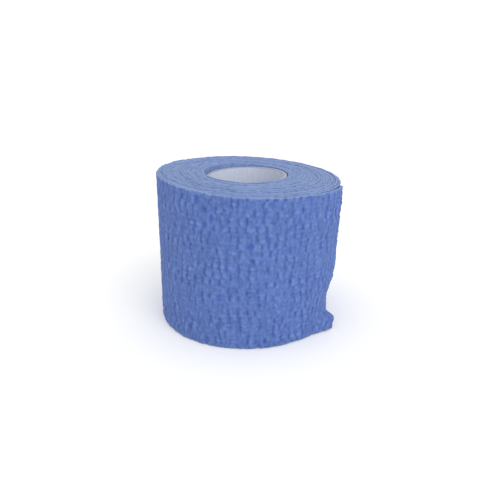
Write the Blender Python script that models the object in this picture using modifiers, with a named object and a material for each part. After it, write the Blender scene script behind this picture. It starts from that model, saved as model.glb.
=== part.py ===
"""A roll of cohesive bandage, standing on one end.

The cloth is 50 mm wide and is wound round a card core. The wound body is one solid. Its outside is a spiral
of one turn that leans a little to the right and has a hollow low on the right, and its upper end slopes down
to the right. The last stretch of the outer turn is the loose end, a sheet that lies against the body. It runs
slightly downhill, so that its upper corner has dropped, its cut edge slants, and its lower corner is pushed
outwards.

Frame: metres, +Z up along the core's axis, origin on that axis halfway up the roll, which stands on
z = -25 mm. -Y is the front and +X the right. Seen from above the cloth is wound anticlockwise, so that the
loose end comes round from the front and stops before it reaches the right.
"""

import math

import bmesh
import bpy

# The cloth and how it is wound
CLOTH_WIDTH = 0.050
TURN_PITCH = 0.0008
OUTER_RADIUS = 0.0316
RIM_ROUNDING = 0.0004
OUTLINE_POINTS = 120
WALL_CUTS = 10

# How the wound body departs from a straight roll: its outside is shifted and leans, its upper end slopes
SHIFT = 0.0004
LEAN = 0.0010
TOP_SLOPE = 0.0019

# The hollow low on the right: how deep, where its middle is, and how far it reaches round and up
HOLLOW_DEPTH = 0.0027
HOLLOW_ANGLE = math.radians(-8)
HOLLOW_SPREAD = math.radians(30)
HOLLOW_HEIGHT = -0.0200
HOLLOW_RISE = 0.0106

# The card core, and the room left round it
BORE_RADIUS = 0.0127
CORE_WALL = 0.0010
CORE_SETBACK = 0.0005
CORE_SEGMENTS = 96
GAP = 0.0003

# The loose end of the cloth
END_THICKNESS = 0.0010
END_FROM = math.radians(-66)
END_TO = math.radians(-24)
END_SLANT = math.radians(20)
END_DIP = 0.0010
END_SETBACK = 0.0001
CORNER_LIFT = 0.0034
CORNER_RAISE = 0.0004
CORNER_LENGTH = 0.0098
CORNER_HEIGHT = 0.0075
END_COLUMNS = 26
END_ROWS = 30

HALF_WIDTH = CLOTH_WIDTH / 2
CORE_RADIUS = BORE_RADIUS + CORE_WALL
WOUND_BORE_RADIUS = CORE_RADIUS + GAP
END_LENGTH = OUTER_RADIUS * (END_TO - END_FROM)
SHARP_ANGLE = math.radians(35)
WELD = 0.000002

CLOTH_BLUE = (0.130, 0.215, 0.510, 1.0)
CARD_WHITE = (0.600, 0.610, 0.640, 1.0)


def clear_scene():
    for obj in list(bpy.data.objects):
        bpy.data.objects.remove(obj, do_unlink=True)


def make_material(name, colour, roughness):
    made = bpy.data.materials.new(name)
    made.use_nodes = True
    shader = made.node_tree.nodes["Principled BSDF"]
    shader.inputs["Base Color"].default_value = colour
    shader.inputs["Roughness"].default_value = roughness
    shader.inputs["Metallic"].default_value = 0.0
    made.diffuse_color = colour
    return made


def add_object(name, mesh, material, collection):
    obj = bpy.data.objects.new(name, mesh)
    mesh.materials.clear()
    mesh.materials.append(material)
    collection.objects.link(obj)
    return obj


def smooth_between_edges(mesh):
    mesh.shade_smooth()
    mesh.set_sharp_from_angle(angle=SHARP_ANGLE)


def turn_radius(angle):
    """The straight roll's outer radius, which steps back where the loose end begins and grows from there."""
    share = (angle - END_FROM) % math.tau / math.tau
    return OUTER_RADIUS - TURN_PITCH * (1 - share)


def hollow(angle, height):
    """How deep the outside is pressed in at a place."""
    from_middle = (angle - HOLLOW_ANGLE + math.pi) % math.tau - math.pi
    round_share = from_middle / HOLLOW_SPREAD
    upward_share = (height - HOLLOW_HEIGHT) / HOLLOW_RISE
    return HOLLOW_DEPTH * math.exp(-(round_share**2) - upward_share**4)


def settle(vertex):
    """Moves a point of the straight roll to where it lies, the more the further out it is."""
    angle = math.atan2(vertex.co.y, vertex.co.x)
    radius = math.hypot(vertex.co.x, vertex.co.y)
    rise = (vertex.co.z + HALF_WIDTH) / CLOTH_WIDTH
    depth = (radius - WOUND_BORE_RADIUS) / (OUTER_RADIUS - WOUND_BORE_RADIUS)
    pressed = radius - hollow(angle, vertex.co.z) * depth
    vertex.co.z -= TOP_SLOPE * vertex.co.x / OUTER_RADIUS * rise
    vertex.co.x = pressed * math.cos(angle) + (SHIFT + LEAN * (rise - 0.5)) * depth
    vertex.co.y = pressed * math.sin(angle)


def add_outline(curve, points):
    spline = curve.splines.new("POLY")
    spline.points.add(len(points) - 1)
    for place, (x, y) in zip(spline.points, points):
        place.co = (x, y, 0, 1)
    spline.use_cyclic_u = True


def turn_outline():
    """One turn of the spiral, whose two ends make a step one pitch high."""
    just_inside = 1e-7
    sweep = math.tau - 2 * just_inside
    angles = [END_FROM + just_inside + sweep * i / OUTLINE_POINTS for i in range(OUTLINE_POINTS + 1)]
    return [(turn_radius(angle) * math.cos(angle), turn_radius(angle) * math.sin(angle)) for angle in angles]


def bore_outline():
    angles = [math.tau * i / CORE_SEGMENTS for i in range(CORE_SEGMENTS)]
    return [(WOUND_BORE_RADIUS * math.cos(angle), WOUND_BORE_RADIUS * math.sin(angle)) for angle in angles]


def outer_wall_edges(work):
    """The upright edges of the outside, which run from rim to rim."""
    rim_to_rim = CLOTH_WIDTH - 3 * RIM_ROUNDING
    between = (WOUND_BORE_RADIUS + OUTER_RADIUS) / 2
    upright = [edge for edge in work.edges if edge.calc_length() > rim_to_rim]
    return [edge for edge in upright if edge.verts[0].co.xy.length > between]


def make_bandage_roll(material, collection):
    """The wound cloth: a spiral outline with a round bore, raised to the cloth's width, with rounded rims."""
    curve = bpy.data.curves.new("turn_outline", "CURVE")
    curve.dimensions = "2D"
    curve.fill_mode = "BOTH"
    curve.extrude = HALF_WIDTH - RIM_ROUNDING
    curve.bevel_depth = RIM_ROUNDING
    curve.bevel_resolution = 1
    curve.offset = -RIM_ROUNDING
    add_outline(curve, turn_outline())
    add_outline(curve, bore_outline())
    flat_curve = bpy.data.objects.new("turn_outline", curve)
    collection.objects.link(flat_curve)

    bpy.context.view_layer.update()
    evaluated = flat_curve.evaluated_get(bpy.context.evaluated_depsgraph_get())
    mesh = bpy.data.meshes.new_from_object(evaluated)
    bpy.data.objects.remove(flat_curve, do_unlink=True)
    bpy.data.curves.remove(curve)

    work = bmesh.new()
    work.from_mesh(mesh)
    bmesh.ops.remove_doubles(work, verts=work.verts, dist=WELD)
    bmesh.ops.recalc_face_normals(work, faces=work.faces)
    bmesh.ops.subdivide_edges(work, edges=outer_wall_edges(work), cuts=WALL_CUTS, use_grid_fill=True)
    for vertex in work.verts:
        settle(vertex)
    work.to_mesh(mesh)
    work.free()
    add_object("bandage_roll", mesh, material, collection)
    smooth_between_edges(mesh)


def corner_curl(to_cut_edge, height):
    """How far along its curl the loose end's lower corner is: level for the lower half of its height."""
    endwise = max(0, 1 - to_cut_edge / CORNER_LENGTH)
    upward = min(1, max(0, 2 - 2 * (height + HALF_WIDTH) / CORNER_HEIGHT))
    return endwise**1.5 * upward**2 * (3 - 2 * upward)


def lay_end(vertex):
    """Lays a point of a flat square of side 1 where the loose end has it, from its root to its cut edge."""
    along = GAP + (vertex.co.x + 0.5) * (END_LENGTH - GAP)
    share = along / END_LENGTH
    height = vertex.co.y * (CLOTH_WIDTH - 2 * END_SETBACK)
    angle = END_FROM + along / OUTER_RADIUS + END_SLANT * share**2 * vertex.co.y
    radius = turn_radius(angle) + GAP
    dipped = height - END_DIP * share**2 * (vertex.co.y + 0.5)
    vertex.co = (radius * math.cos(angle), radius * math.sin(angle), dipped)
    settle(vertex)
    curl = corner_curl(END_LENGTH - along, height)
    vertex.co.x += CORNER_LIFT * curl * math.cos(angle)
    vertex.co.y += CORNER_LIFT * curl * math.sin(angle)
    vertex.co.z += CORNER_RAISE * curl


def make_loose_end(material, collection):
    """The end of the cloth: a sheet laid round the body, with its lower corner curled outwards."""
    work = bmesh.new()
    bmesh.ops.create_grid(work, x_segments=END_COLUMNS, y_segments=END_ROWS, size=0.5)
    for vertex in work.verts:
        lay_end(vertex)
    mesh = bpy.data.meshes.new("loose_end")
    work.to_mesh(mesh)
    work.free()
    sheet = add_object("loose_end", mesh, material, collection)
    cloth = sheet.modifiers.new("cloth_thickness", "SOLIDIFY")
    cloth.thickness = END_THICKNESS
    cloth.offset = 1
    smooth_between_edges(mesh)


def make_core(material, collection):
    """The card tube that the cloth is wound on, a little short of the cloth at each end."""
    half_length = HALF_WIDTH - CORE_SETBACK
    corners = [
        (CORE_RADIUS, half_length),
        (CORE_RADIUS, -half_length),
        (BORE_RADIUS, -half_length),
        (BORE_RADIUS, half_length),
    ]
    work = bmesh.new()
    wall = [work.verts.new((radius, 0, height)) for radius, height in corners]
    for start, end in zip(wall, wall[1:] + wall[:1]):
        work.edges.new((start, end))
    mesh = bpy.data.meshes.new("core")
    work.to_mesh(mesh)
    work.free()
    core = add_object("core", mesh, material, collection)
    turned = core.modifiers.new("turned", "SCREW")
    turned.steps = CORE_SEGMENTS
    turned.render_steps = CORE_SEGMENTS
    turned.use_merge_vertices = True
    turned.merge_threshold = WELD
    turned.use_smooth_shade = False


def main():
    clear_scene()
    collection = bpy.data.collections.new("cohesive_bandage_roll")
    bpy.context.scene.collection.children.link(collection)
    cloth = make_material("cohesive_cloth", CLOTH_BLUE, 0.9)
    card = make_material("white_card", CARD_WHITE, 0.8)
    make_bandage_roll(cloth, collection)
    make_loose_end(cloth, collection)
    make_core(card, collection)


main()
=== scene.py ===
"""The looks of a roll of cohesive bandage: crinkled cloth, the edges of its turns, a card core and a studio.

Laid out as an add-on and run as a script. Sizes are in metres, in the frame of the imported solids: the core's
axis is Z, -Y is the front, +X is the right, and the roll stands on its lower end.

The cloth is one strip. A place on it is told by its length back from the cut end, its height above the middle
of its width, and its side, which is 0 on the inner face and 1 on the outer one. wind() finds where that place
lies on the roll.
"""

import math

import bmesh
import bpy
import numpy as np
from bpy.props import FloatProperty, FloatVectorProperty, IntProperty, PointerProperty
from mathutils import Matrix, Vector


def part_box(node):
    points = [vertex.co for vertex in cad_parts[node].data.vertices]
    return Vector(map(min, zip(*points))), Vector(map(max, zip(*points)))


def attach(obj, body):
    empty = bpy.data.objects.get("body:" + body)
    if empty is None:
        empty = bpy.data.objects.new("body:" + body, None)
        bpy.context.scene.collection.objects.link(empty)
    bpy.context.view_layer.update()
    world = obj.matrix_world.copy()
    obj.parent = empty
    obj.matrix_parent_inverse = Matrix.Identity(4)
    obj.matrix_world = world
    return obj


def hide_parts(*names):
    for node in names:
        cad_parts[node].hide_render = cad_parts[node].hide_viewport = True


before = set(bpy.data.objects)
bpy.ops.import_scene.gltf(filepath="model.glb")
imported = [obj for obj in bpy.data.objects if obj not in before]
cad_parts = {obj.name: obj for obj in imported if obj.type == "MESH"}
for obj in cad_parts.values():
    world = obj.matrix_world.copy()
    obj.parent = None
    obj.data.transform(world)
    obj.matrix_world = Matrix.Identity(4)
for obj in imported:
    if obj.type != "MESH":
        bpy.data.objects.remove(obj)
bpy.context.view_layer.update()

CORE_LOW, CORE_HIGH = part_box("core")
ROLL_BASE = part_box("bandage_roll")[0][2]

# The room between the core and the cloth
CORE_GAP = 0.0003

bl_info = {
    "name": "Cohesive Bandage Roll",
    "version": (1, 0, 0),
    "blender": (4, 5, 0),
    "location": "View3D > Sidebar > Bandage",
    "description": "Builds a wound roll of crinkled cohesive bandage on its card core",
    "category": "Add Mesh",
}


class ClothSettings(bpy.types.PropertyGroup):
    width: FloatProperty(
        name="Width", description="Width of the cloth", default=0.050, min=0.01, unit="LENGTH"
    )
    thickness: FloatProperty(
        name="Thickness", description="Thickness of one layer as wound", default=0.00079, unit="LENGTH"
    )
    pitch: FloatProperty(
        name="Turn Pitch", description="How much each turn adds to the radius", default=0.0008, unit="LENGTH"
    )
    outer_radius: FloatProperty(
        name="Outer Radius", description="Radius where the loose end begins", default=0.0316, unit="LENGTH"
    )
    inner_radius: FloatProperty(
        name="Inner Radius",
        description="Radius of the innermost face",
        default=CORE_HIGH[0] + CORE_GAP,
        unit="LENGTH",
    )
    crease_spacing: FloatProperty(
        name="Crease Spacing",
        description="From crease to crease round the roll",
        default=0.0028,
        unit="LENGTH",
    )
    crease_depth: FloatProperty(
        name="Crease Depth", description="Depth of the deepest creases", default=0.00016, unit="LENGTH"
    )
    puff: FloatProperty(
        name="Puff",
        description="How far the cloth swells between creases",
        default=0.00018,
        unit="LENGTH",
    )
    thread_spacing: FloatProperty(
        name="Thread Spacing", description="Between the elastic threads", default=0.0015, unit="LENGTH"
    )
    pinch: FloatProperty(
        name="Pinch",
        description="How far the elastic threads draw the cloth in",
        default=0.00018,
        unit="LENGTH",
    )
    colour: FloatVectorProperty(
        name="Cloth Colour",
        description="Colour of the cloth",
        subtype="COLOR",
        default=(0.090, 0.152, 0.379),
    )
    # Painted shade: this colour darkens the creases and the thread pinches, where shade falls
    crease_shade_colour: FloatVectorProperty(
        name="Crease Colour",
        description="Colour deep in the creases",
        subtype="COLOR",
        default=(0.0615, 0.1025, 0.331),
    )
    # Painted highlight: this colour lightens the crests of the folds, where light catches them
    crest_highlight_colour: FloatVectorProperty(
        name="Crest Colour",
        description="Colour on the crests",
        subtype="COLOR",
        default=(0.165, 0.255, 0.500),
    )
    edge_colour: FloatVectorProperty(
        name="Edge Colour",
        description="Colour of the cut edges",
        subtype="COLOR",
        default=(0.198, 0.272, 0.462),
    )


class CoreSettings(bpy.types.PropertyGroup):
    radius: FloatProperty(
        name="Outer Radius", description="Outer radius of the tube", default=CORE_HIGH[0], unit="LENGTH"
    )
    wall: FloatProperty(
        name="Wall", description="Thickness of the card", default=0.0010, unit="LENGTH"
    )
    low: FloatProperty(
        name="Lower End", description="Height of the lower end", default=CORE_LOW[2], unit="LENGTH"
    )
    high: FloatProperty(
        name="Upper End", description="Height of the upper end", default=CORE_HIGH[2], unit="LENGTH"
    )
    plies: IntProperty(
        name="Plies", description="Layers of card in the wall", default=3, min=1
    )
    # The card is pale. This colour also carries a painted blue cast, which stands for light bounced off the
    # blue cloth
    colour: FloatVectorProperty(
        name="Card Colour",
        description="Colour of the card",
        subtype="COLOR",
        default=(0.603, 0.640, 0.755),
    )


class StageSettings(bpy.types.PropertyGroup):
    distance: FloatProperty(
        name="Camera Distance",
        description="From the camera to the roll's middle",
        default=0.200,
        unit="LENGTH",
    )
    elevation: FloatProperty(
        name="Camera Elevation",
        description="Above the horizon",
        default=math.radians(19.4),
        subtype="ANGLE",
    )
    roll: FloatProperty(
        name="Camera Roll",
        description="Turn about the line of sight",
        default=math.radians(-0.7),
        subtype="ANGLE",
    )
    lens: FloatProperty(
        name="Lens", description="Focal length in millimetres", default=40.4
    )
    key: FloatProperty(
        name="Key Light", description="Strength of the main light", default=0.95
    )
    fill: FloatProperty(
        name="Fill Light", description="Strength of the weaker light", default=0.5, unit="POWER"
    )
    sky: FloatProperty(
        name="Sky", description="Brightness all round", default=1.0
    )
    floor_radius: FloatProperty(
        name="Floor Radius", description="Size of the floor", default=3.0, unit="LENGTH"
    )
    floor_colour: FloatVectorProperty(
        name="Floor Colour",
        description="Colour of the floor",
        subtype="COLOR",
        default=(0.95, 0.95, 0.95),
    )


# ---------------------------------------------------------------- how the cloth lies

# Angles about Z from +X: where the loose end leaves the roll, and where it is cut
END_FROM = math.radians(-66)
END_TO = math.radians(-24)

# How far the outer wrap runs on, past one whole turn, under the loose end
COVERED_TURN = math.radians(48)

# How the roll departs from a straight one: its outside is shifted and leans, its upper end slopes down to the
# right and rises towards the core, and a hollow is pressed in low on the right
SHIFT = 0.0004
LEAN = 0.0010
TOP_SLOPE = 0.0019
CROWN = 0.0005
HOLLOW_DEPTH = 0.0027
HOLLOW_ANGLE = math.radians(-8)
HOLLOW_SPREAD = math.radians(30)
HOLLOW_HEIGHT = -0.0200
HOLLOW_RISE = 0.0106

# The loose end: over what length it is free, how far it stands off, how its cut edge slants and its upper
# corner drops, and how its lower corner curls out
FREE_LENGTH = 0.0230
EDGE_LIFT = 0.0001
END_SLANT = math.radians(20)
END_DIP = 0.0010
CORNER_LIFT = 0.0040
CORNER_RAISE = 0.0004
CORNER_LENGTH = 0.0098
CORNER_HEIGHT = 0.0075
CORNER_SHARPNESS = 1.5

# Its cut edge: how far fibres stick out, how close together, and how far back from the edge that reaches
RAGGED = 0.00022
RAGGED_SPACING = 0.0011
RAGGED_REACH = 0.0015

# The wrinkles that run through many turns: how many stand round the roll, through what depth of cloth each
# runs, how far they push the cloth out, and the share of the way out from the core where they are full
WRINKLES_ROUND = 84
WRINKLE_REACH = 0.0045
WRINKLE_DEPTH = 0.00013
WRINKLE_FULL = 0.25

# How far the whole roll is out of round, in how many lobes, and through what depth of cloth
OUT_OF_ROUND = 0.00022
OUT_OF_ROUND_LOBES = 7
OUT_OF_ROUND_REACH = 0.012

# How straight the cut edges of the turns run, and how round they are
EDGE_WANDER = 0.00020
EDGE_WANDER_LENGTH = 0.034
EDGE_CRINKLE = 0.00009
EDGE_CRINKLE_LENGTH = 0.0015
EDGE_ROUNDING = 0.00011

# The share of the way to the edge, from the middle of the width, where its wander begins
EDGE_NEARNESS = 2 / 3

# The measure of the cut edge: where it starts from the edge, and over what distance it grows
EDGE_TONE_REACH = 2.2 * EDGE_ROUNDING
EDGE_TONE_GROWTH = 2 * EDGE_ROUNDING

# How finely the strip is divided along its length and up its width
OUTER_COLUMN = 0.00030
OUTER_ROW = 0.00048
OUTER_INSIDE_ROWS = 12
OUTER_ROUNDING_STEPS = 5
INNER_COLUMN = 0.00065
INNER_ROWS = 7
INNER_ROUNDING_STEPS = 3

MERGE = 0.000001

# ---------------------------------------------------------------- how the outer face crinkles

# How far the elastic threads wander, as a share of their spacing, and over what length and height
THREAD_WANDER = 0.35
THREAD_WANDER_LENGTH = 0.0065
THREAD_WANDER_HEIGHT = 0.005

# The puckers: how wide a crease is, as a share of their spacing, how far each fold leans to the cut end, and
# over what share of a band's height they step sideways
CREASE_WIDTH = 0.18
FOLD_SKEW = 0.55
STEP_SHARE = 0.5

# How the puckers sway, as shares of their spacing: by bands, and slowly over many bands
SWAY = 0.34
SWAY_LENGTH = 1.7
SLOW_SWAY = 0.36
SLOW_SWAY_LENGTH = 4.0
SLOW_SWAY_BANDS = 3.5

# How strong the puckers are: on average, how much that varies, over what share of their spacing, and how much
# they fade where they step
VIGOUR = 0.66
VIGOUR_VARIETY = 0.95
VIGOUR_LENGTH = 0.9
STEP_CALM = 0.7

# The large puckers run through more than one band, and the fine ones, which fill the calm places, are closer
LARGE_BANDS = 0.60
FINE_SPACING = 0.55
FINE_FADE = 0.6
FINE_PUFF = 0.6
FINE_DEPTH = 0.5

# How much a fold swells where its puckers are weak, and the height on a fold that stays where it was
CALM_PUFF = 0.3
FOLD_LEVEL = 0.6

# The pinches at the threads: how high as a share of a band, and how long
PINCH_HEIGHT = 0.18
PINCH_LENGTH = 0.0019

# The lumps and the broad swells: their length, height and depth
LUMP_LENGTH = 0.0013
LUMP_HEIGHT = 0.0012
LUMP_DEPTH = 0.00017
SWELL_LENGTH = 0.010
SWELL_HEIGHT = 0.013
SWELL_DEPTH = 0.00012

# What the measures of crease and crest are made up of. They place painted shade in the creases and at the
# thread pinches, and painted highlight on the crests
FINE_CREASE_SHADE = 0.6
PINCH_SHADE = 0.38
CREST_BASE = 0.25
CREST_VIGOUR = 0.55
CREST_LUMPS = 0.45
CREST_PINCH = 0.5

# The crinkles fade out towards the inner face, and under the loose end, where there is no room for them
OUTWARD_FROM = 0.3
COVER_FADE = 0.002

# Seeds of the random fields. Each kind of pucker uses three in a row.
THREAD_SEED = 61
PINCH_SEED = 62
LUMP_SEED = 63
SWELL_SEED = 16
LARGE_PUCKER_SEED = 77
FINE_PUCKER_SEED = 87
LOW_WRINKLE_SEED = 21
HIGH_WRINKLE_SEED = 22
OUT_OF_ROUND_SEED = 23
UPPER_WANDER_SEED = 31
UPPER_CRINKLE_SEED = 32
LOWER_WANDER_SEED = 33
LOWER_CRINKLE_SEED = 34
RAGGED_SEED = 41

# The random fields' tables: their rows, and their columns where they don't go round the roll
FIELD_ROWS = 97
FIELD_COLUMNS = 503


def mix(first, second, share):
    return first + (second - first) * share


def ease(share):
    """Runs from 0 to 1 with a level start and end."""
    share = np.clip(share, 0, 1)
    return share * share * share * (share * (share * 6 - 15) + 10)


def random_field(x, y, seed, round_trip=FIELD_COLUMNS):
    """Smooth random values from -1 to 1 with a grain of 1, which repeat when x has grown by round_trip."""
    table = np.random.default_rng(seed).uniform(-1, 1, (FIELD_ROWS, round_trip))
    column, row = np.floor(x).astype(int), np.floor(y).astype(int)
    along, up = ease(x - column), ease(y - row)
    low, high = row % FIELD_ROWS, (row + 1) % FIELD_ROWS
    left, right = column % round_trip, (column + 1) % round_trip
    lower = mix(table[low, left], table[low, right], along)
    upper = mix(table[high, left], table[high, right], along)
    return mix(lower, upper, up)


def random_line(x, seed):
    """Smooth random values along one line of a field."""
    return random_field(x, 0 * x, seed)


def thread_bands(cloth, length, height):
    """Counts the bands up the cloth: whole numbers are their middles, and halfway between lies a thread."""
    wander = random_field(length / THREAD_WANDER_LENGTH, height / THREAD_WANDER_HEIGHT, THREAD_SEED)
    return height / cloth.thread_spacing + THREAD_WANDER * wander


def puckers(length, bands, spacing, seed):
    """Upright puckers, which run straight in each band and step sideways between two of them.

    Gives how near a crease is, how high the fold between two creases stands, and how strong they are, each
    from 0 to 1.
    """
    passed = np.clip((bands % 1 - 0.5) / STEP_SHARE + 0.5, 0, 1)
    stepped = np.floor(bands) + passed
    sway = SWAY * random_field(length / (spacing * SWAY_LENGTH), stepped, seed)
    slow_place = length / (spacing * SLOW_SWAY_LENGTH)
    sway = sway + SLOW_SWAY * random_field(slow_place, bands / SLOW_SWAY_BANDS, seed + 1)
    across = (length / spacing + sway) % 1
    from_crease = 0.5 - np.abs(across - 0.5)
    variety = random_field(length / (spacing * VIGOUR_LENGTH), stepped, seed + 2)
    vigour = np.clip(VIGOUR + VIGOUR_VARIETY * variety, 0, 1)
    vigour = vigour * (1 - STEP_CALM * 4 * passed * (1 - passed))
    crease = np.exp(-((from_crease / CREASE_WIDTH) ** 2)) * vigour
    fold = 1 - (1 - 2 * (1 - across) ** FOLD_SKEW) ** 2
    return crease, fold, vigour


def crepe(cloth, length, height):
    """How far the outer face stands out, how near a crease it is, and how high on a crest."""
    bands = thread_bands(cloth, length, height)
    crease, fold, vigour = puckers(length, bands * LARGE_BANDS, cloth.crease_spacing, LARGE_PUCKER_SEED)
    fine_crease, fine_fold, _ = puckers(length, bands, cloth.crease_spacing * FINE_SPACING, FINE_PUCKER_SEED)
    fine_share = 1 - FINE_FADE * vigour
    pinch = np.exp(-(((bands % 1 - 0.5) / PINCH_HEIGHT) ** 2))
    pinch = pinch * (0.5 + 0.5 * random_field(length / PINCH_LENGTH, bands, PINCH_SEED))
    lumps = random_field(length / LUMP_LENGTH, height / LUMP_HEIGHT, LUMP_SEED)
    swells = random_field(length / SWELL_LENGTH, height / SWELL_HEIGHT, SWELL_SEED)

    large = cloth.puff * mix(CALM_PUFF, 1, vigour) * (fold - FOLD_LEVEL) - cloth.crease_depth * crease
    fine = FINE_PUFF * cloth.puff * (fine_fold - FOLD_LEVEL) - FINE_DEPTH * cloth.crease_depth * fine_crease
    relief = large + fine_share * fine - cloth.pinch * pinch + LUMP_DEPTH * lumps + SWELL_DEPTH * swells

    # The crease measure places painted shade in the creases and at the thread pinches
    near_crease = crease + FINE_CREASE_SHADE * fine_share * fine_crease + PINCH_SHADE * pinch
    # The crest measure places painted highlight on the crests of the folds
    crest = fold * (CREST_BASE + CREST_VIGOUR * vigour + CREST_LUMPS * lumps) - CREST_PINCH * pinch
    return relief, np.clip(near_crease, 0, 1), np.clip(crest, 0, 1)


def depth_in(cloth, radius):
    """How far out a radius is: 0 at the core and 1 on the outside."""
    return (radius - cloth.inner_radius) / (cloth.outer_radius - cloth.inner_radius)


def wrinkles(cloth, angle, radius, height):
    """How far the turns are pushed out together, which is the same for all the layers at a place."""
    turned = angle / math.tau % 1
    x, y = turned * WRINKLES_ROUND, radius / WRINKLE_REACH
    low = random_field(x, y, LOW_WRINKLE_SEED, WRINKLES_ROUND)
    high = random_field(x, y, HIGH_WRINKLE_SEED, WRINKLES_ROUND)
    broad = random_field(
        turned * OUT_OF_ROUND_LOBES, radius / OUT_OF_ROUND_REACH, OUT_OF_ROUND_SEED, OUT_OF_ROUND_LOBES
    )
    depth = np.clip(depth_in(cloth, radius), 0, 1)
    pushed = WRINKLE_DEPTH * mix(low, high, height / cloth.width + 0.5) * ease(depth / WRINKLE_FULL)
    return pushed + OUT_OF_ROUND * broad * depth


def settle(cloth, angle, radius, height):
    """Moves a place on a straight roll to where it lies."""
    rise = height / cloth.width + 0.5
    depth = depth_in(cloth, radius)
    from_hollow = (angle - HOLLOW_ANGLE + math.pi) % math.tau - math.pi
    upward = (height - HOLLOW_HEIGHT) / HOLLOW_RISE
    hollow = HOLLOW_DEPTH * np.exp(-((from_hollow / HOLLOW_SPREAD) ** 2) - upward**4)
    pressed = radius - hollow * depth
    shifted = (SHIFT + LEAN * (rise - 0.5)) * depth
    slope = TOP_SLOPE * np.cos(angle) * radius / cloth.outer_radius
    sloped = height + (CROWN * (1 - depth) - slope) * rise
    return np.stack([pressed * np.cos(angle) + shifted, pressed * np.sin(angle), sloped], axis=-1)


def spiral(cloth):
    """The strip's radius at its cut end, and how much that narrows by the radian."""
    narrowing = cloth.pitch / math.tau
    return cloth.outer_radius + narrowing * (END_TO - END_FROM) - cloth.thickness / 2, narrowing


def turned_back(cloth, length):
    """The angle that a length of the strip turns, going back from the cut end."""
    start, narrowing = spiral(cloth)
    return (start - np.sqrt(start**2 - 2 * narrowing * length)) / narrowing


def length_back(cloth, turn):
    """The length of strip that turns back by an angle."""
    start, narrowing = spiral(cloth)
    return start * turn - narrowing * turn**2 / 2


def outer_length(cloth):
    """The last turn and the stretch that the loose end hides."""
    return length_back(cloth, math.tau + COVERED_TURN)


def whole_length(cloth):
    """The strip's whole length as it is wound, from the cut end in to the core."""
    turns = (cloth.outer_radius - cloth.inner_radius - cloth.thickness) / cloth.pitch
    return length_back(cloth, turns * math.tau + END_TO - END_FROM)


def curl(cloth, length, height):
    """How far along its curl the loose end's lower corner is, from 0 where it lies flat."""
    to_base = (height + cloth.width / 2) / CORNER_HEIGHT
    return np.clip(1 - length / CORNER_LENGTH, 0, 1) ** CORNER_SHARPNESS * ease(2 - 2 * to_base)


def wind(cloth, length, side, height, relief):
    """Where places of the flat strip lie on the roll."""
    up = height / cloth.width
    freed = ease(1 - length / FREE_LENGTH)
    angle = END_TO - turned_back(cloth, length) + END_SLANT * freed * up
    height = height - END_DIP * freed * (up + 0.5)
    outer = cloth.outer_radius + cloth.pitch * (angle - END_FROM) / math.tau
    radius = outer - cloth.thickness * (1 - side)
    radius = radius + wrinkles(cloth, angle, radius, height) + relief
    places = settle(cloth, angle, radius, height)
    curled = curl(cloth, length, height)
    lift = EDGE_LIFT * freed + CORNER_LIFT * curled
    places[:, 0] += lift * np.cos(angle)
    places[:, 1] += lift * np.sin(angle)
    places[:, 2] += CORNER_RAISE * curled
    return places


def edge_places(cloth, length, height):
    """Shifts heights near the cut edges, so that these wander and crinkle, the lower one always upwards."""
    from_middle = np.abs(height) / (cloth.width / 2)
    nearness = np.clip((from_middle - EDGE_NEARNESS) / (1 - EDGE_NEARNESS), 0, 1)
    wander_place = length / EDGE_WANDER_LENGTH
    crinkle_place = length / EDGE_CRINKLE_LENGTH
    upper = EDGE_WANDER * random_line(wander_place, UPPER_WANDER_SEED)
    upper = upper + EDGE_CRINKLE * (random_line(crinkle_place, UPPER_CRINKLE_SEED) - 1)
    lower = 0.5 * EDGE_WANDER * (1 + random_line(wander_place, LOWER_WANDER_SEED))
    lower = lower + EDGE_CRINKLE * (1 + random_line(crinkle_place, LOWER_CRINKLE_SEED))
    return height + nearness * np.where(height > 0, upper, lower)


def crinkled_face(cloth, length, side, height):
    """The crinkles of the outer face, as they show on each side of the strip."""
    relief, crease, crest = crepe(cloth, length, height)
    cover = length_back(cloth, math.tau) - END_SLANT * cloth.outer_radius * height / cloth.width
    shown = ease((cover - length) / COVER_FADE)
    outward = np.clip((side - OUTWARD_FROM) / (1 - OUTWARD_FROM), 0, 1)
    return relief * np.where(relief > 0, shown, 1) * outward, crease * outward, crest * outward


def ragged_end(length, height):
    """Makes the cut end a little ragged."""
    ragged = RAGGED * random_line(height / RAGGED_SPACING, RAGGED_SEED)
    return np.maximum(length + ragged * ease(1 - length / RAGGED_REACH), 0)


def strip_section(cloth, even_rows, plain_rows, rounding_steps):
    """The strip's cross-section as a closed run of (side, height) places.

    It goes up the outer face and down the inner one. The inner face has plain rows, which lie closer low
    down. The outer face has even rows, or with none given the same plain ones.
    """
    shoulder = cloth.width / 2 - EDGE_ROUNDING
    plain = [(i / plain_rows) ** 2 for i in range(plain_rows + 1)]
    even = [i / even_rows for i in range(even_rows + 1)] if even_rows else plain
    outer = [(1.0, mix(-shoulder, shoulder, share)) for share in even]
    inner = [(0.0, mix(-shoulder, shoulder, share)) for share in reversed(plain)]
    first_step = 0.6
    steps = rounding_steps - 1 + 2 * first_step
    turns = [math.pi * (i + first_step) / steps for i in range(rounding_steps)]
    upper = [(0.5 + 0.5 * math.cos(turn), shoulder + EDGE_ROUNDING * math.sin(turn)) for turn in turns]
    lower = [(side, -height) for side, height in reversed(upper)]
    section = outer + upper + inner + lower
    return np.array(section + section[:1])


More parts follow.
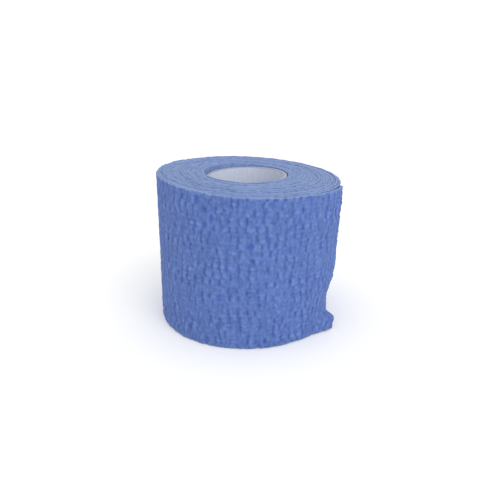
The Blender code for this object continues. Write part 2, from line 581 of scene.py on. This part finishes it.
def wound_strip(name, cloth, start, end, column, section, crinkled):
    """A closed mesh of the strip between two lengths from its cut end.

    A flat grid has the strip's length along X and its cross-section's run along Y. Each vertex goes where the
    cloth lies, the grid's two long sides are merged, and its ends are filled.
    """
    columns = round((end - start) / column)
    work = bmesh.new()
    bmesh.ops.create_grid(work, x_segments=columns, y_segments=len(section) - 1, size=0.5)
    flat = np.array([vertex.co[:2] for vertex in work.verts]) + 0.5
    side, height = section[np.rint(flat[:, 1] * (len(section) - 1)).astype(int)].T
    length = mix(end, start, flat[:, 0])

    relief, crease, crest = np.zeros((3, len(length)))
    if crinkled:
        relief, crease, crest = crinkled_face(cloth, length, side, height)
        length = ragged_end(length, height)
    from_edge = cloth.width / 2 - np.abs(height)
    cut_edge = np.clip((EDGE_TONE_REACH - from_edge) / EDGE_TONE_GROWTH, 0, 1)
    places = wind(cloth, length, side, edge_places(cloth, length, height), relief)

    # The crease measure places painted shade on the cloth, and the crest measure places painted highlight
    measures = {"crease": crease, "crest": crest, "cut_edge": cut_edge}
    layers = [work.verts.layers.float.new(measure) for measure in measures]
    readings = zip(*(values.tolist() for values in measures.values()))
    for vertex, place, reading in zip(work.verts, places.tolist(), readings):
        vertex.co = place
        for layer, value in zip(layers, reading):
            vertex[layer] = value
    bmesh.ops.remove_doubles(work, verts=work.verts, dist=MERGE)
    ends = [edge for edge in work.edges if edge.is_boundary]
    caps = bmesh.ops.holes_fill(work, edges=ends, sides=0)["faces"]
    bmesh.ops.triangulate(work, faces=caps, quad_method="BEAUTY", ngon_method="BEAUTY")
    bmesh.ops.recalc_face_normals(work, faces=work.faces)
    mesh = bpy.data.meshes.new(name)
    work.to_mesh(mesh)
    work.free()
    mesh.shade_smooth()
    return mesh


# ---------------------------------------------------------------- finishes

# How bright the cloth is, and how much its fibres, its patches and its mottling change that. The mottling is
# fainter on a cut edge.
CLOTH_BRIGHTNESS = 0.83
FIBRE_BRIGHTNESS = 0.26
PATCH_BRIGHTNESS = 0.14
MOTTLE_BRIGHTNESS = 0.95
EDGE_CALM = 0.72

# How much of the painted highlight on the crests shows, and how far the mottling breaks up the outlines of the
# painted shade in the creases and the painted highlight on the crests
CREST_HIGHLIGHT_SHARE = 0.35
CREASE_SHADE_BREAKUP = 0.4
CREST_HIGHLIGHT_BREAKUP = 0.9

# How high the fibres and the nap stand
FIBRE_HEIGHT = 0.00016
NAP_HEIGHT = 0.00010

# The card: the rise of its spiral seam in one turn, where that starts as a share of a turn, the seam's half
# width and the width of its fading edge as shares of its rise, the height of the grain, and the tones of the
# marks. The cut ends' tone is partly the card's duller cut and partly painted shade on the rim.
SEAM_RISE = 0.038
SEAM_START = 0.3
SEAM_HALF_WIDTH = 0.002
SEAM_FADE = 0.010
CARD_GRAIN_HEIGHT = 0.00006
GRAIN_TONE = 0.88
SEAM_TONE = 0.5
CUT_SHADE_TONE = 0.58

# How far from the card's ends their darkening begins, and where it is full. It is partly duller cut card and
# partly painted shade on the rim
CUT_SHADE_FROM = 0.0003
CUT_SHADE_FULL = 0.00014

FLOOR_CLOUD_TONE = 0.985


class Signal:
    """A node's output, on which sums can be written as Python expressions."""

    def __init__(self, finish, socket):
        self.finish = finish
        self.socket = socket

    def beside(self, output):
        """Another output of the same node."""
        return Signal(self.finish, self.socket.node.outputs[output])

    def sum(self, operation, *values):
        """A Math node that works on the values or signals given."""
        return self.finish.node("ShaderNodeMath", {"operation": operation}, dict(enumerate(values)))

    def __add__(self, other):
        return self.sum("ADD", self, other)

    def __sub__(self, other):
        return self.sum("SUBTRACT", self, other)

    def __rsub__(self, other):
        return self.sum("SUBTRACT", other, self)

    def __mul__(self, other):
        return self.sum("MULTIPLY", self, other)

    def __truediv__(self, other):
        return self.sum("DIVIDE", self, other)

    def __abs__(self):
        return self.sum("ABSOLUTE", self)

    __radd__ = __add__
    __rmul__ = __mul__


class Finish:
    """A material and the way its nodes are added."""

    def __init__(self, name, **constants):
        self.material = bpy.data.materials.new(name)
        self.material.use_nodes = True
        self.tree = self.material.node_tree
        self.shader = self.tree.nodes["Principled BSDF"]
        for socket, value in constants.items():
            self.shader.inputs[socket.replace("_", " ")].default_value = value

    def feed(self, socket, value):
        """Links a signal to a socket, or sets the socket to a plain value."""
        if isinstance(value, Signal):
            self.tree.links.new(value.socket, socket)
        elif isinstance(value, tuple) and socket.type == "RGBA":
            socket.default_value = (*value, 1.0)
        else:
            socket.default_value = value

    def node(self, kind, settings=None, inputs=None, output=0):
        """Adds a node, with its settings made before its inputs are fed."""
        made = self.tree.nodes.new(kind)
        for name, value in (settings or {}).items():
            setattr(made, name, value)
        for name, value in (inputs or {}).items():
            self.feed(made.inputs[name], value)
        return Signal(self, made.outputs[output])

    def measure(self, name):
        """A value kept on the mesh's vertices."""
        return self.node("ShaderNodeAttribute", {"attribute_name": name}, output="Fac")

    def place(self):
        """The place on the object."""
        return self.node("ShaderNodeTexCoord", output="Object")

    def noise(self, scale, detail=2.0, roughness=0.5, stretch=(1, 1, 1)):
        """Noise from 0 to 1, whose place is scaled by stretch first."""
        spot = self.node("ShaderNodeMapping", {}, {"Vector": self.place(), "Scale": stretch})
        inputs = {"Vector": spot, "Scale": scale, "Detail": detail, "Roughness": roughness}
        return self.node("ShaderNodeTexNoise", {}, inputs, output="Fac")

    def blend(self, first, second, share):
        settings = {"data_type": "RGBA", "blend_type": "MIX"}
        return self.node("ShaderNodeMix", settings, {"Factor": share, 6: first, 7: second}, output=2)

    def between(self, value, low, high):
        """0 where the value is low, 1 where it is high, and level beyond."""
        inputs = {"Value": value, "From Min": low, "From Max": high}
        return self.node("ShaderNodeMapRange", {"interpolation_type": "SMOOTHSTEP"}, inputs)

    def bump(self, height, distance, strength, under=None):
        """The normal of a raised surface, on top of the one under it."""
        inputs = {"Height": height, "Distance": distance, "Strength": strength}
        if under is not None:
            inputs["Normal"] = under
        return self.node("ShaderNodeBump", {}, inputs)

    def shade(self, **inputs):
        for socket, value in inputs.items():
            self.feed(self.shader.inputs[socket.replace("_", " ")], value)
        return self.material


def toned(colour, tone):
    return tuple(channel * tone for channel in colour)


def cohesive_cloth(cloth):
    """Matt nonwoven cloth: painted shade in its creases and pinches, painted highlight on its crests, and pale
    along its cut edges.
    """
    finish = Finish(
        "cohesive_cloth_finish",
        Sheen_Weight=0.08,
        Sheen_Roughness=0.45,
        Sheen_Tint=(0.75, 0.83, 1.0, 1.0),
        Specular_IOR_Level=0.18,
    )
    crease = finish.measure("crease")
    crest = finish.measure("crest")
    edge = finish.measure("cut_edge")
    mottle = finish.noise(850, detail=2.0, roughness=0.6)
    fibres = finish.noise(2600, detail=2.0, roughness=0.7, stretch=(1, 1, 0.45))
    speck = finish.noise(5200, detail=1.0, roughness=0.5)
    patches = finish.noise(120, detail=2.0, roughness=0.5)

    # Painted shade: the crease colour darkens the creases and the pinches
    crease_shade = finish.between(crease + (mottle - 0.5) * CREASE_SHADE_BREAKUP, 0.02, 0.80)
    # Painted highlight: the crest colour lightens the crests of the folds
    crest_highlight = CREST_HIGHLIGHT_SHARE * finish.between(crest + (mottle - 0.5) * CREST_HIGHLIGHT_BREAKUP, 0.15, 1.0)
    tone = finish.blend(tuple(cloth.colour), tuple(cloth.crease_shade_colour), crease_shade)
    tone = finish.blend(tone, tuple(cloth.crest_highlight_colour), crest_highlight)
    tone = finish.blend(tone, tuple(cloth.edge_colour), edge * finish.between(mottle, 0.0, 0.60))
    brightness = CLOTH_BRIGHTNESS + FIBRE_BRIGHTNESS * fibres + PATCH_BRIGHTNESS * patches
    brightness = brightness + MOTTLE_BRIGHTNESS * (mottle - 0.5) * (1 - EDGE_CALM * edge)
    tone = finish.node("ShaderNodeHueSaturation", {}, {"Color": tone, "Value": brightness})
    weave = finish.bump(fibres, FIBRE_HEIGHT, 0.8)
    nap = finish.bump(speck + mottle * 1.5, NAP_HEIGHT, 0.6, weave)
    return finish.shade(Base_Color=tone, Roughness=0.86 + 0.12 * fibres, Normal=nap)


def core_card(core):
    """Pale uncoated card with a painted blue cast for light bounced off the cloth: a fine dark seam in a
    spiral, a faint grain with flecks, and cut ends darkened partly as duller card and partly with painted
    shade.
    """
    finish = Finish("core_card_finish", Specular_IOR_Level=0.3)
    x = finish.node("ShaderNodeSeparateXYZ", {}, {0: finish.place()})
    y = x.beside("Y")
    z = x.beside("Z")
    turned = x.sum("ARCTAN2", y, x) / math.tau
    helix = x.sum("FRACT", turned + z / SEAM_RISE + SEAM_START)
    seam = 1 - finish.between(abs(helix - 0.5), SEAM_HALF_WIDTH, SEAM_HALF_WIDTH + SEAM_FADE)
    grain = finish.noise(1400, detail=4.0, roughness=0.6, stretch=(1, 1, 0.5))
    flecks = finish.between(finish.noise(3200, detail=2.0, roughness=0.5), 0.60, 0.75)

    # The card's colour holds a painted blue cast, for light bounced off the cloth
    paper = tuple(core.colour)
    dim = toned(paper, GRAIN_TONE)
    tone = finish.blend(paper, dim, finish.between(grain, 0.35, 0.75))
    tone = finish.blend(tone, dim, flecks * 0.5)
    tone = finish.blend(tone, toned(paper, SEAM_TONE), seam * 0.8)
    # Painted shade on the rim: the cut ends are darkened, partly as duller cut card and partly as shade
    cut = finish.between(abs(z), core.high - CUT_SHADE_FROM, core.high - CUT_SHADE_FULL)
    tone = finish.blend(tone, toned(paper, CUT_SHADE_TONE), cut)
    surface = finish.bump(grain - seam * 1.5, CARD_GRAIN_HEIGHT, 0.8)
    return finish.shade(Base_Color=tone, Roughness=0.72 + 0.16 * grain, Normal=surface)


def pale_floor(stage):
    """Plain pale paper."""
    finish = Finish("floor_paper", Specular_IOR_Level=0.2)
    cloud = finish.noise(6, detail=2.0, roughness=0.5)
    paper = tuple(stage.floor_colour)
    tone = finish.blend(paper, toned(paper, FLOOR_CLOUD_TONE), cloud)
    return finish.shade(Base_Color=tone, Roughness=0.80 + 0.05 * cloud)


# ---------------------------------------------------------------- pieces

# The core tube: the grooves between its plies, the share of a ply that is rounded off on each side, how many
# divisions it has round and up, and the length past which an edge runs from end to end
RIM_GROOVE = 0.00005
PLY_ROUNDING = 0.22
CORE_STEPS = 192
CORE_CUTS = 24
LONG_EDGE = 0.01
CORE_SHARP_ANGLE = math.radians(40)

# How its cut ends waver: the number of waves round the rim, their phase and their height, how far from the
# tube's middle that starts, and over what length it grows
END_WAVES = ((23, 0, 0.00002), (41, 1, 0.00002), (3, 0, 0.00003))
END_WAVES_FROM = 0.020
END_WAVES_GROWTH = 0.005

# The stage: where the sun shines from and how wide it is, where the fill light hangs and its size, the point
# that the camera looks at, and the camera's plain settings
SUN_FROM = (0.34, -0.67, 0.66)
SUN_WIDTH = math.radians(45)
FILL_PLACE = (0.60, -0.45, 0.25)
FILL_SIZE = 0.60
CAMERA_AIM = (0.0008, -0.0011, -0.0024)
SENSOR_WIDTH = 36.0
CLIP_START = 0.005
FLOOR_SEGMENTS = 128


def add_piece(name, mesh, material):
    piece = bpy.data.objects.new(name, mesh)
    bpy.context.scene.collection.objects.link(piece)
    mesh.materials.append(material)
    return piece


def cloth_material(cloth):
    return bpy.data.materials.get("cohesive_cloth_finish") or cohesive_cloth(cloth)


def declare_cloth(piece, node, length):
    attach(piece, "root")
    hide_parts(node)


class BANDAGE_OT_core_tube(bpy.types.Operator):
    """Turn the card tube that the cloth is wound on"""

    bl_idname = "bandage.core_tube"
    bl_label = "Core Tube"

    def execute(self, context):
        core = context.scene.bandage_core
        middle = (core.high + core.low) / 2
        upper_rim = self.rim(core)
        lower_rim = [(radius, 2 * middle - height) for radius, height in reversed(upper_rim)]
        work = self.turned(upper_rim + lower_rim)
        self.waver_ends(work, middle)
        bmesh.ops.recalc_face_normals(work, faces=work.faces)
        mesh = bpy.data.meshes.new("core_tube")
        work.to_mesh(mesh)
        work.free()
        mesh.shade_smooth()
        mesh.set_sharp_from_angle(angle=CORE_SHARP_ANGLE)
        piece = add_piece("core_tube", mesh, core_card(core))
        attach(piece, "root")
        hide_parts("core")
        return {"FINISHED"}

    def rim(self, core):
        """The upper rim's profile from outside to inside, with a shallow groove between each two plies."""
        ply = core.wall / core.plies
        profile = [(core.radius, core.high - RIM_GROOVE)]
        for layer in range(core.plies):
            outside = core.radius - layer * ply
            profile.append((outside - ply * PLY_ROUNDING, core.high))
            profile.append((outside - ply * (1 - PLY_ROUNDING), core.high))
            profile.append((outside - ply, core.high - RIM_GROOVE))
        return profile

    def turned(self, profile):
        """A tube turned from a closed profile of (radius, height) places, and divided up its length."""
        work = bmesh.new()
        points = [work.verts.new((radius, 0, height)) for radius, height in profile]
        for first, second in zip(points, points[1:] + points[:1]):
            work.edges.new((first, second))
        bmesh.ops.spin(
            work,
            geom=work.verts[:] + work.edges[:],
            cent=(0, 0, 0),
            axis=(0, 0, 1),
            dvec=(0, 0, 0),
            angle=math.tau,
            steps=CORE_STEPS,
            use_merge=True,
            use_duplicate=False,
        )
        bmesh.ops.remove_doubles(work, verts=work.verts, dist=MERGE)
        long_edges = [edge for edge in work.edges if edge.calc_length() > LONG_EDGE]
        bmesh.ops.subdivide_edges(work, edges=long_edges, cuts=CORE_CUTS, use_grid_fill=True)
        return work

    def waver_ends(self, work, middle):
        """Makes the tube's cut ends a little uneven."""
        for vertex in work.verts:
            angle = math.atan2(vertex.co.y, vertex.co.x)
            near_end = max(0.0, (abs(vertex.co.z - middle) - END_WAVES_FROM) / END_WAVES_GROWTH)
            waver = sum(height * math.sin(angle * waves + phase) for waves, phase, height in END_WAVES)
            vertex.co.z += near_end * waver


class BANDAGE_OT_windings(bpy.types.Operator):
    """Wind the turns of cloth that lie under the outer one"""

    bl_idname = "bandage.windings"
    bl_label = "Windings"

    def execute(self, context):
        cloth = context.scene.bandage_cloth
        start, end = outer_length(cloth), whole_length(cloth)
        section = strip_section(cloth, 0, INNER_ROWS, INNER_ROUNDING_STEPS)
        mesh = wound_strip("windings", cloth, start, end, INNER_COLUMN, section, False)
        piece = add_piece("windings", mesh, cloth_material(cloth))
        declare_cloth(piece, "bandage_roll", end - start)
        return {"FINISHED"}


class BANDAGE_OT_outer_wrap(bpy.types.Operator):
    """Wind the outer turn of cloth, with its crinkled face and its loose end"""

    bl_idname = "bandage.outer_wrap"
    bl_label = "Outer Wrap"

    def execute(self, context):
        cloth = context.scene.bandage_cloth
        length = outer_length(cloth)
        rows = round(cloth.width / OUTER_ROW)
        section = strip_section(cloth, rows, OUTER_INSIDE_ROWS, OUTER_ROUNDING_STEPS)
        mesh = wound_strip("outer_wrap", cloth, 0.0, length, OUTER_COLUMN, section, True)
        piece = add_piece("outer_wrap", mesh, cloth_material(cloth))
        declare_cloth(piece, "loose_end", length)
        return {"FINISHED"}


class BANDAGE_OT_stage(bpy.types.Operator):
    """Set up the floor, the lights and the camera"""

    bl_idname = "bandage.stage"
    bl_label = "Stage"

    def execute(self, context):
        stage = context.scene.bandage_stage
        self.add_floor(stage)
        self.add_sun(stage)
        self.add_fill(stage)
        self.add_sky(stage)
        self.add_camera(stage)
        context.scene.view_settings.view_transform = "Standard"
        return {"FINISHED"}

    def add_floor(self, stage):
        """A wide round floor at the height of the roll's lower end."""
        work = bmesh.new()
        place = Matrix.Translation((0, 0, ROLL_BASE))
        bmesh.ops.create_circle(
            work, cap_ends=True, segments=FLOOR_SEGMENTS, radius=stage.floor_radius, matrix=place
        )
        mesh = bpy.data.meshes.new("floor")
        work.to_mesh(mesh)
        work.free()
        add_piece("floor", mesh, pale_floor(stage))

    def add_sun(self, stage):
        light = bpy.data.lights.new("key_light", "SUN")
        light.energy = stage.key
        light.angle = SUN_WIDTH
        lamp = bpy.data.objects.new("key_light", light)
        lamp.rotation_euler = Vector(SUN_FROM).to_track_quat("Z", "Y").to_euler()
        bpy.context.scene.collection.objects.link(lamp)

    def add_fill(self, stage):
        light = bpy.data.lights.new("fill_light", "AREA")
        light.shape = "DISK"
        light.size = FILL_SIZE
        light.energy = stage.fill
        lamp = bpy.data.objects.new("fill_light", light)
        lamp.location = FILL_PLACE
        lamp.rotation_euler = Vector(FILL_PLACE).to_track_quat("Z", "Y").to_euler()
        bpy.context.scene.collection.objects.link(lamp)

    def add_sky(self, stage):
        """Even white light from all round."""
        world = bpy.data.worlds.new("studio")
        world.use_nodes = True
        background = world.node_tree.nodes["Background"]
        background.inputs["Color"].default_value = (1.0, 1.0, 1.0, 1.0)
        background.inputs["Strength"].default_value = stage.sky
        bpy.context.scene.world = world

    def add_camera(self, stage):
        data = bpy.data.cameras.new("camera")
        data.lens = stage.lens
        data.sensor_width = SENSOR_WIDTH
        data.clip_start = CLIP_START
        camera = bpy.data.objects.new("camera", data)
        away = Vector((0, -math.cos(stage.elevation), math.sin(stage.elevation)))
        place = away * stage.distance
        look = (place - Vector(CAMERA_AIM)).to_track_quat("Z", "Y").to_matrix().to_4x4()
        camera.matrix_world = Matrix.Translation(place) @ look @ Matrix.Rotation(stage.roll, 4, "Z")
        bpy.context.scene.collection.objects.link(camera)
        bpy.context.scene.camera = camera


class BANDAGE_PT_sidebar(bpy.types.Panel):
    bl_idname = "BANDAGE_PT_sidebar"
    bl_label = "Cohesive Bandage Roll"
    bl_space_type = "VIEW_3D"
    bl_region_type = "UI"
    bl_category = "Bandage"

    def draw(self, context):
        for operator in OPERATORS:
            self.layout.operator(operator.bl_idname, text=operator.bl_label)
        for name in SETTINGS:
            settings = getattr(context.scene, name)
            box = self.layout.box()
            for field in settings.__annotations__:
                box.prop(settings, field)


OPERATORS = (BANDAGE_OT_core_tube, BANDAGE_OT_windings, BANDAGE_OT_outer_wrap, BANDAGE_OT_stage)
SETTINGS = {"bandage_cloth": ClothSettings, "bandage_core": CoreSettings, "bandage_stage": StageSettings}


def register():
    for name, group in SETTINGS.items():
        bpy.utils.register_class(group)
        setattr(bpy.types.Scene, name, PointerProperty(type=group))
    for operator in OPERATORS:
        bpy.utils.register_class(operator)
    bpy.utils.register_class(BANDAGE_PT_sidebar)


def unregister():
    bpy.utils.unregister_class(BANDAGE_PT_sidebar)
    for operator in reversed(OPERATORS):
        bpy.utils.unregister_class(operator)
    for name, group in SETTINGS.items():
        delattr(bpy.types.Scene, name)
        bpy.utils.unregister_class(group)


def main():
    register()
    bpy.ops.bandage.core_tube()
    bpy.ops.bandage.windings()
    bpy.ops.bandage.outer_wrap()
    bpy.ops.bandage.stage()


if __name__ == "__main__":
    main()
